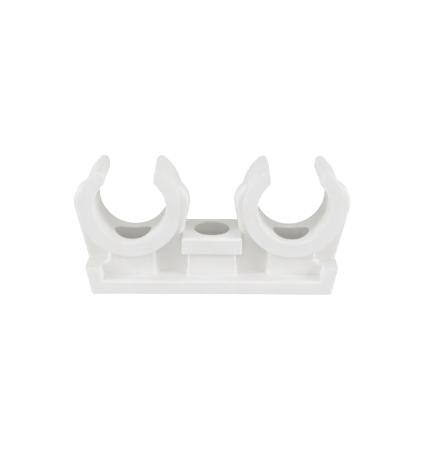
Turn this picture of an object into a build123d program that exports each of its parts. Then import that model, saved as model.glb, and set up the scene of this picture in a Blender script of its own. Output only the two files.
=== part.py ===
"""Double snap-in pipe clip: one white moulding that holds two parallel pipes off a wall.

Millimetres. The wall is the plane Z = 0 and +Z points away from it. The pipes run along Y,
their centres stand side by side along X, and the origin is the middle of the base underside.
"""

import os
from math import isclose, radians, tan

from build123d import *

# Pipe seats
bore_radius = 9.8
ring_wall = 3.9
ring_depth = 15.0
pipe_pitch = 44.1
bore_height = 24.1
mouth_width = 13.0
tip_rounding = 1.5
lip_rounding = 0.6

# Base
base_length = 66.6
base_depth = 19.0
base_thickness = 3.95
base_edge_rounding = 0.9
end_lean = 10.8
end_block_height = 7.7
end_block_length = 4.05
end_block_rounding = 1.0

# Middle plate with its rounded ears
web_thickness = 5.8
web_edge_rounding = 1.4
web_corner_radius = 0.9
web_foot_width = 25.3
web_lean = 12.1
ear_radius = 6.5
ear_start_below_bore = 1.4
ear_sweep = 84.0

# Stems under the rings and under the middle block
pedestal_width = 13.0
pedestal_depth = 10.2
neck_width = 13.2
neck_depth = 12.4
stem_foot_radius = 1.0
stem_shoulder_radius = 1.5
stem_edge_rounding = 0.8

# Middle screw block
cap_width = 16.5
cap_depth = 15.0
cap_height = 5.0
cap_top = 15.8
cap_edge_rounding = 0.7

# Screw wells, oblong in the rings and round in the middle block, and their holes
ring_well_length = 10.2
ring_well_width = 8.0
cap_well_diameter = 9.8
screw_hole_diameter = 5.0

# Sizes that follow from the ones above
ring_radius = bore_radius + ring_wall
ring_x = pipe_pitch / 2
cap_bottom = cap_top - cap_height
stem_top = cap_top - cap_edge_rounding
stem_inner = ring_x - pedestal_width / 2
stem_outer = ring_x + pedestal_width / 2
ear_start_height = bore_height - ear_start_below_bore


def end_x(height):
    """Distance of the leaning end face from the middle of the part at a height."""
    return base_length / 2 + height * tan(radians(end_lean))


def web_x(height):
    """Half width of a middle plate at a height, from the axis of its ring."""
    return web_foot_width / 2 + (height - end_block_height) * tan(radians(web_lean))


# Base plate with rounded long edges, which ends inside the end blocks
with BuildPart() as plate:
    with Locations((0, 0, base_thickness / 2)):
        Box(base_length - end_block_length, base_depth, base_thickness)
    fillet(plate.edges().filter_by(Axis.X).group_by(Axis.Z)[-1], base_edge_rounding)

# Leaning block at the end of the base, with rounded corners
with BuildPart() as end_block:
    with BuildSketch(Plane.XZ):
        with BuildLine():
            Polyline(
                (end_x(0) - end_block_length, 0),
                (end_x(0), 0),
                (end_x(end_block_height), end_block_height),
                (end_x(end_block_height) - end_block_length, end_block_height),
                close=True,
            )
        make_face()
    extrude(amount=base_depth / 2, both=True)
    leaning_edges = end_block.edges().group_by(Axis.Z)[1]
    fillet(leaning_edges, end_block_rounding)

# Stem under a ring, with the low wall that runs out to the end block
with BuildPart() as pedestal:
    with BuildSketch(Plane.XZ):
        with BuildLine():
            shoulder_start = (stem_outer, end_block_height + stem_shoulder_radius)
            foot_start = (stem_inner, base_thickness + stem_foot_radius)
            shoulder = JernArc(shoulder_start, (0, -1), stem_shoulder_radius, 90)
            foot = JernArc(foot_start, (0, -1), stem_foot_radius, -90)
            Polyline(
                foot @ 1,
                (stem_inner - stem_foot_radius, 0),
                (end_x(0), 0),
                (end_x(end_block_height), end_block_height),
                shoulder @ 1,
            )
            Polyline(
                shoulder_start,
                (stem_outer, bore_height),
                (stem_inner, bore_height),
                foot_start,
            )
        make_face()
    extrude(amount=pedestal_depth / 2, both=True)
    fillet(pedestal.faces().filter_by(Axis.Y).edges(), stem_edge_rounding)

# Stem under the middle block
with BuildPart() as neck:
    with BuildSketch(Plane.XZ):
        with BuildLine():
            foot_start = (neck_width / 2, base_thickness + stem_foot_radius)
            foot = JernArc(foot_start, (0, -1), stem_foot_radius, 90)
            Polyline(foot @ 1, (neck_width / 2 + stem_foot_radius, 0), (0, 0))
            Polyline(foot_start, (neck_width / 2, stem_top), (0, stem_top))
            mirror(about=Plane.YZ)
        make_face()
    extrude(amount=neck_depth / 2, both=True)
    fillet(neck.faces().filter_by(Axis.Y).edges(), stem_edge_rounding)

# Middle screw block
with BuildPart() as cap:
    with Locations((0, 0, cap_bottom + cap_height / 2)):
        Box(cap_width, cap_depth, cap_height)
    fillet(cap.edges(), cap_edge_rounding)

# Middle plate about the axis of one ring: leaning edges that end in two ears
with BuildPart() as web:
    with BuildSketch(Plane.XZ):
        with BuildLine():
            lean_edge = Line((web_x(0), 0), (web_x(ear_start_height), ear_start_height))
            ear = JernArc(lean_edge @ 1, lean_edge % 1, ear_radius, ear_sweep)
            Line(lean_edge @ 0, (0, 0))
            Line(ear @ 1, (0, (ear @ 1).Y))
            mirror(about=Plane.YZ)
        make_face()
    extrude(amount=web_thickness / 2, both=True)
    fillet(web.faces().filter_by(Axis.Y).edges(), web_edge_rounding)

# Ring with its mouth and rounded arm tips, about the bore axis
with BuildPart() as ring:
    with BuildSketch(Plane.XZ) as ring_outline:
        Circle(ring_radius)
        Circle(bore_radius, mode=Mode.SUBTRACT)
        Rectangle(
            mouth_width, ring_radius, align=(Align.CENTER, Align.MIN), mode=Mode.SUBTRACT
        )
        fillet(ring_outline.vertices().group_by(SortBy.DISTANCE)[-1], tip_rounding)
        fillet(ring_outline.vertices().group_by(SortBy.DISTANCE)[0], lip_rounding)
    extrude(amount=ring_depth / 2, both=True)

# Base, stems and the plate that joins the stems, with soft corners in the recesses
with BuildPart() as body:
    add(end_block.part)
    add(pedestal.part)
    mirror(about=Plane.YZ)
    add(plate.part)
    add(neck.part)
    with Locations((0, 0, stem_top / 2)):
        Box(pipe_pitch, web_thickness, stem_top)
    recess_corners = (
        body.edges()
        .filter_by(lambda edge: isclose(abs(edge.center().Y), web_thickness / 2))
        .filter_by_position(Axis.Z, base_thickness, stem_top, inclusive=(True, False))
    )
    fillet(recess_corners, web_corner_radius)

# The whole moulding, with its openings cut last
with BuildPart() as clip:
    add(body.part)
    with Locations((-ring_x, 0, 0), (ring_x, 0, 0)):
        add(web.part)
    with Locations((-ring_x, 0, bore_height), (ring_x, 0, bore_height)):
        add(ring.part)
    add(cap.part)

    with BuildSketch(Plane.XZ):
        with Locations((-ring_x, bore_height), (ring_x, bore_height)):
            Circle(bore_radius)
    extrude(amount=ring_depth, both=True, mode=Mode.SUBTRACT)

    with BuildSketch(Plane.XY.offset(base_thickness)):
        with Locations((-ring_x, 0), (ring_x, 0)):
            SlotOverall(ring_well_length, ring_well_width)
    extrude(amount=bore_height - base_thickness, mode=Mode.SUBTRACT)

    with BuildSketch(Plane.XY.offset(base_thickness)):
        Circle(cap_well_diameter / 2)
    extrude(amount=cap_top, mode=Mode.SUBTRACT)

    with BuildSketch(Plane.XY):
        with Locations((-ring_x, 0), (0, 0), (ring_x, 0)):
            Circle(screw_hole_diameter / 2)
    extrude(amount=cap_bottom, mode=Mode.SUBTRACT)

clip.part.label = "double_pipe_clip"
os.makedirs("parts", exist_ok=True)
export_step(clip.part, "parts/double_pipe_clip.step")
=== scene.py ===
# %% [markdown]
# # A white double pipe clip
#
# The clip is one plastic moulding: two open rings that grip a pipe each, on a base that is screwed to a
# wall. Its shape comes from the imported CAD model, so this lesson is about everything else that makes it
# look real: where the camera stands, what white plastic does with light, and a studio that is bright
# without washing the shape out.

# %% Load the clip
from math import pi, radians

import bpy
from mathutils import Matrix, Vector


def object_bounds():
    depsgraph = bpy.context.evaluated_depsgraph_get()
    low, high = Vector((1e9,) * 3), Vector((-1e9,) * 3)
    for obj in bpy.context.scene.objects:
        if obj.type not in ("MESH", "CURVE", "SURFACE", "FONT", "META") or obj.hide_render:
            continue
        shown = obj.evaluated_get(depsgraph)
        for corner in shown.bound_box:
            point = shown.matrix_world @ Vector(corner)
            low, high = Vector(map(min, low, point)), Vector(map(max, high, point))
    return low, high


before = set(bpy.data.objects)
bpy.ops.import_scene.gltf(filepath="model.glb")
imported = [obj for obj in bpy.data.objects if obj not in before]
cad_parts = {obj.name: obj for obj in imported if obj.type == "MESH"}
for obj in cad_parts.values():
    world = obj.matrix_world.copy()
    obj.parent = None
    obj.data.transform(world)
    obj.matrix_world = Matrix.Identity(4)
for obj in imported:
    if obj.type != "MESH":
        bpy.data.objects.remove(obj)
cad_low, cad_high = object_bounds()
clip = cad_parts["double_pipe_clip"]
MM = 0.001
clip_middle = (cad_low + cad_high) / 2
print("clip size in mm:", [round(side / MM, 2) for side in cad_high - cad_low])

# %% [markdown]
# ## The camera
#
# A product picture of a small part is taken from close by with a long lens, so the near rims are only a
# little larger than the far ones. The camera could be placed by eye. Here it is given as a photographer
# would note it down: the point it aims at, its distance, how far it looks down and how much it is
# tilted. The lens follows from how large the clip stands in the picture.

# %% Place the camera
IMAGE_HEIGHT = 465
FOCAL_LENGTH_PIXELS = 831.1
SENSOR_LONG_SIDE = 36.0
AIM_POINT = Vector((0.84, 0.0, 14.51)) * MM
CAMERA_DISTANCE = 233.0 * MM
LOOKING_DOWN = radians(23.33)
CAMERA_TILT = radians(0.255)
VIEW_RANGE = 100


def place_camera():
    """A camera that looks along +Y and down at the clip, with +X to the right."""
    camera_data = bpy.data.cameras.new("camera")
    camera_data.sensor_width = SENSOR_LONG_SIDE
    camera_data.lens = FOCAL_LENGTH_PIXELS / IMAGE_HEIGHT * SENSOR_LONG_SIDE
    camera_data.clip_start = CAMERA_DISTANCE / VIEW_RANGE
    camera_data.clip_end = CAMERA_DISTANCE * VIEW_RANGE
    camera = bpy.data.objects.new("camera", camera_data)
    bpy.context.scene.collection.objects.link(camera)
    turn = Matrix.Rotation(pi / 2 - LOOKING_DOWN, 4, "X")
    tilt = Matrix.Rotation(CAMERA_TILT, 4, "Z")
    step_back = Matrix.Translation((0, 0, CAMERA_DISTANCE))
    camera.matrix_world = Matrix.Translation(AIM_POINT) @ turn @ step_back @ tilt
    bpy.context.scene.camera = camera
    return camera


camera = place_camera()
print("camera at, in mm:", [round(side / MM, 1) for side in camera.matrix_world.translation])

# %% [markdown]
# ## White plastic
#
# The clip is moulded from a dense white plastic. It isn't pure white: it gives back about nine tenths of
# the light, and a touch less of the blue, which shows as a warm tone deep in the wells where light has
# bounced many times. Light also creeps a fraction of a millimetre under the skin before it comes out
# again, so the edges of shadows are a little soft. Its skin is satin, with a fine grain from the mould
# and a gloss that changes slowly over the part. One flat colour would look like paper, so three noises of
# very different sizes are used: clouds for the gloss, mottling for the colour and grain for the surface.
# The crisp edges of a moulding are never quite sharp, and the Bevel node rounds the shading there.

# %% Nodes that read noise in millimetres
NOISE_LOW, NOISE_HIGH = 0.3, 0.7


def add_node(tree, kind, **settings):
    """A new node of that kind, with the given properties set."""
    node = tree.nodes.new(kind)
    for name, value in settings.items():
        setattr(node, name, value)
    return node


def noise(tree, place, grain_mm, detail):
    """Noise with features about that many millimetres across."""
    node = add_node(tree, "ShaderNodeTexNoise")
    node.inputs["Scale"].default_value = 1 / (grain_mm * MM)
    node.inputs["Detail"].default_value = detail
    tree.links.new(place.outputs["Object"], node.inputs["Vector"])
    return node


def spread(tree, source, low, high):
    """Stretches a noise to run from low to high."""
    node = add_node(tree, "ShaderNodeMapRange")
    node.inputs["From Min"].default_value = NOISE_LOW
    node.inputs["From Max"].default_value = NOISE_HIGH
    node.inputs["To Min"].default_value = low
    node.inputs["To Max"].default_value = high
    tree.links.new(source.outputs["Fac"], node.inputs["Value"])
    return node


print("noise is stretched from", NOISE_LOW, "to", NOISE_HIGH)

# %% The plastic itself
PALE_WHITE = (0.905, 0.897, 0.866, 1)
DEEP_WHITE = (0.885, 0.875, 0.840, 1)
MOTTLING_MM = 5
GLOSS_CLOUD_MM = 14
SATIN_ROUGHNESS = (0.52, 0.62)
MOULD_GRAIN_MM = 0.25
MOULD_GRAIN_DEPTH = 0.01 * MM
MOULD_GRAIN_STRENGTH = 0.25
PLASTIC_IOR = 1.49
LIGHT_DEPTH = 0.22 * MM
LIGHT_DEPTH_BY_COLOUR = (1.0, 0.9, 0.8)
EDGE_SOFTNESS = 0.15 * MM


def white_plastic():
    """Satin white moulded plastic."""
    material = bpy.data.materials.new("white_plastic")
    material.use_nodes = True
    tree = material.node_tree
    shader = tree.nodes["Principled BSDF"]
    shader.inputs["IOR"].default_value = PLASTIC_IOR
    shader.inputs["Subsurface Weight"].default_value = 1.0
    shader.inputs["Subsurface Radius"].default_value = LIGHT_DEPTH_BY_COLOUR
    shader.inputs["Subsurface Scale"].default_value = LIGHT_DEPTH
    place = add_node(tree, "ShaderNodeTexCoord")

    mottling = spread(tree, noise(tree, place, MOTTLING_MM, detail=3), 0, 1)
    colour = add_node(tree, "ShaderNodeMix", data_type="RGBA")
    colour.inputs["A"].default_value = DEEP_WHITE
    colour.inputs["B"].default_value = PALE_WHITE
    tree.links.new(mottling.outputs["Result"], colour.inputs["Factor"])
    tree.links.new(colour.outputs["Result"], shader.inputs["Base Color"])

    clouds = spread(tree, noise(tree, place, GLOSS_CLOUD_MM, detail=2), *SATIN_ROUGHNESS)
    tree.links.new(clouds.outputs["Result"], shader.inputs["Roughness"])

    soft_edge = add_node(tree, "ShaderNodeBevel", samples=6)
    soft_edge.inputs["Radius"].default_value = EDGE_SOFTNESS
    grain = add_node(tree, "ShaderNodeBump")
    grain.inputs["Strength"].default_value = MOULD_GRAIN_STRENGTH
    grain.inputs["Distance"].default_value = MOULD_GRAIN_DEPTH
    mould_grain = noise(tree, place, MOULD_GRAIN_MM, detail=2)
    tree.links.new(mould_grain.outputs["Fac"], grain.inputs["Height"])
    tree.links.new(soft_edge.outputs["Normal"], grain.inputs["Normal"])
    tree.links.new(grain.outputs["Normal"], shader.inputs["Normal"])
    return material


clip.data.materials.clear()
clip.data.materials.append(white_plastic())
print("clip has", len(clip.data.polygons), "faces and material", clip.data.materials[0].name)

# %% [markdown]
# ## The floor
#
# The clip stands on a white table. A lit white floor is never as white as the paper of a catalogue, so
# the camera sees some light of the floor's own on top of what falls on it. That extra is for the camera
# only and lights nothing. An even glow would shine up through the screw holes like lamps, so it fades
# where the clip closes the floor in: the holes stay dark and the shadow at the foot keeps its depth. This
# fade is painted shade, darkest at the foot of the clip and in the screw holes.

# %% Make the floor
FLOOR_HALF_WIDTH = 2.0
FLOOR_WHITE = (0.80, 0.80, 0.80, 1)
FLOOR_OWN_LIGHT = 0.66
GLOW_FADE_REACH = 8 * MM


def seen_directly(tree):
    """1 for rays that show the background to the camera, in gloss or through glass, and 0 for light."""
    path = add_node(tree, "ShaderNodeLightPath")
    either = path.outputs["Is Camera Ray"]
    for kind in ("Is Glossy Ray", "Is Transmission Ray"):
        join = add_node(tree, "ShaderNodeMath", operation="MAXIMUM")
        tree.links.new(either, join.inputs[0])
        tree.links.new(path.outputs[kind], join.inputs[1])
        either = join.outputs["Value"]
    return either


def white_floor():
    """Matt white that also glows a little, for the camera only, with painted shade where the clip stands
    close.
    """
    material = bpy.data.materials.new("white_floor")
    material.use_nodes = True
    tree = material.node_tree
    tree.nodes.remove(tree.nodes["Principled BSDF"])
    matt = add_node(tree, "ShaderNodeBsdfDiffuse")
    matt.inputs["Color"].default_value = FLOOR_WHITE
    glow = add_node(tree, "ShaderNodeEmission")
    # Ambient occlusion dims the glow near the clip: painted shade at its foot and in the screw holes.
    painted_foot_shade = add_node(tree, "ShaderNodeAmbientOcclusion", samples=16)
    painted_foot_shade.inputs["Distance"].default_value = GLOW_FADE_REACH
    tree.links.new(painted_foot_shade.outputs["Color"], glow.inputs["Color"])
    amount = add_node(tree, "ShaderNodeMath", operation="MULTIPLY")
    amount.inputs[1].default_value = FLOOR_OWN_LIGHT
    tree.links.new(seen_directly(tree), amount.inputs[0])
    tree.links.new(amount.outputs["Value"], glow.inputs["Strength"])
    both = add_node(tree, "ShaderNodeAddShader")
    tree.links.new(matt.outputs["BSDF"], both.inputs[0])
    tree.links.new(glow.outputs["Emission"], both.inputs[1])
    tree.links.new(both.outputs["Shader"], tree.nodes["Material Output"].inputs["Surface"])
    return material


def make_floor():
    """A square floor at the height of the clip's underside."""
    reach = FLOOR_HALF_WIDTH
    corners = [(-reach, -reach), (reach, -reach), (reach, reach), (-reach, reach)]
    mesh = bpy.data.meshes.new("floor")
    mesh.from_pydata([(x, y, cad_low.z) for x, y in corners], [], [(0, 1, 2, 3)])
    mesh.materials.append(white_floor())
    floor = bpy.data.objects.new("floor", mesh)
    bpy.context.scene.collection.objects.link(floor)
    return floor


floor = make_floor()
print("floor at height", floor.data.vertices[0].co.z)

# %% [markdown]
# ## The light
#
# White on white needs light that is soft but not the same from everywhere: where all of it comes evenly,
# the shape goes flat. The room gives half of it. A tall strip on either side, a little in front of the
# clip, reaches into the front half of the rings and leaves the back half in shade. A square box over the
# camera fills the faces that look at us, and a weak one behind gives the back some shape. The room and the
# box behind are a little warm and the others a little cool, so a face's tint tells where its light comes
# from. Each softbox is described by what a white card turned towards it would show, so the levels can be
# read as brightness and moving a box doesn't change them.

# %% Set up the room and the softboxes
WARM = (1.0, 1.0, 0.965)
COOL = (0.885, 0.895, 1.0)
ROOM_LEVEL = 0.503
SOFTBOX_DISTANCE = 0.6
SQUARE_BOX = {"height": 35, "width": 0.40, "tall": 0.40}
STRIP_BOX = {"height": 22, "width": 0.12, "tall": 0.45, "level": 0.364, "colour": COOL}
STRIP_TURN = 67
SOFTBOXES = {
    "front": {"turn": 0, "level": 0.117, "colour": COOL, **SQUARE_BOX},
    "back": {"turn": 180, "level": 0.064, "colour": WARM, **SQUARE_BOX},
    "left": {"turn": -STRIP_TURN, **STRIP_BOX},
    "right": {"turn": STRIP_TURN, **STRIP_BOX},
}


def light_room():
    """Even light from all round, with plain white where the camera looks past the floor."""
    world = bpy.data.worlds.new("room")
    bpy.context.scene.world = world
    world.use_nodes = True
    tree = world.node_tree
    room = tree.nodes["Background"]
    room.inputs["Color"].default_value = (*WARM, 1)
    room.inputs["Strength"].default_value = ROOM_LEVEL
    white = add_node(tree, "ShaderNodeBackground")
    white.inputs["Color"].default_value = (1, 1, 1, 1)
    choose = add_node(tree, "ShaderNodeMixShader")
    tree.links.new(seen_directly(tree), choose.inputs["Fac"])
    tree.links.new(room.outputs["Background"], choose.inputs[1])
    tree.links.new(white.outputs["Background"], choose.inputs[2])
    tree.links.new(choose.outputs["Shader"], tree.nodes["World Output"].inputs["Surface"])


def hang_softbox(name, turn, height, width, tall, level, colour):
    """A lamp that faces the clip, turned about it from the camera's side and lifted, in degrees."""
    lamp_data = bpy.data.lights.new(name, "AREA")
    lamp_data.shape = "RECTANGLE"
    lamp_data.size = width
    lamp_data.size_y = tall
    lamp_data.color = colour
    lamp_data.energy = level * pi**2 * SOFTBOX_DISTANCE**2
    lamp = bpy.data.objects.new(name, lamp_data)
    bpy.context.scene.collection.objects.link(lamp)
    swing = Matrix.Rotation(radians(turn), 4, "Z")
    lift = Matrix.Rotation(pi / 2 - radians(height), 4, "X")
    step_back = Matrix.Translation((0, 0, SOFTBOX_DISTANCE))
    lamp.matrix_world = Matrix.Translation(clip_middle) @ swing @ lift @ step_back
    return lamp


light_room()
for name, box in SOFTBOXES.items():
    lamp = hang_softbox(name, **box)
    print("softbox", name, "at, in mm:", [round(side / MM) for side in lamp.matrix_world.translation])

# %% [markdown]
# ## Finish
#
# The Standard view shows a colour as it is written.

# %% Finish
bpy.context.scene.view_settings.view_transform = "Standard"
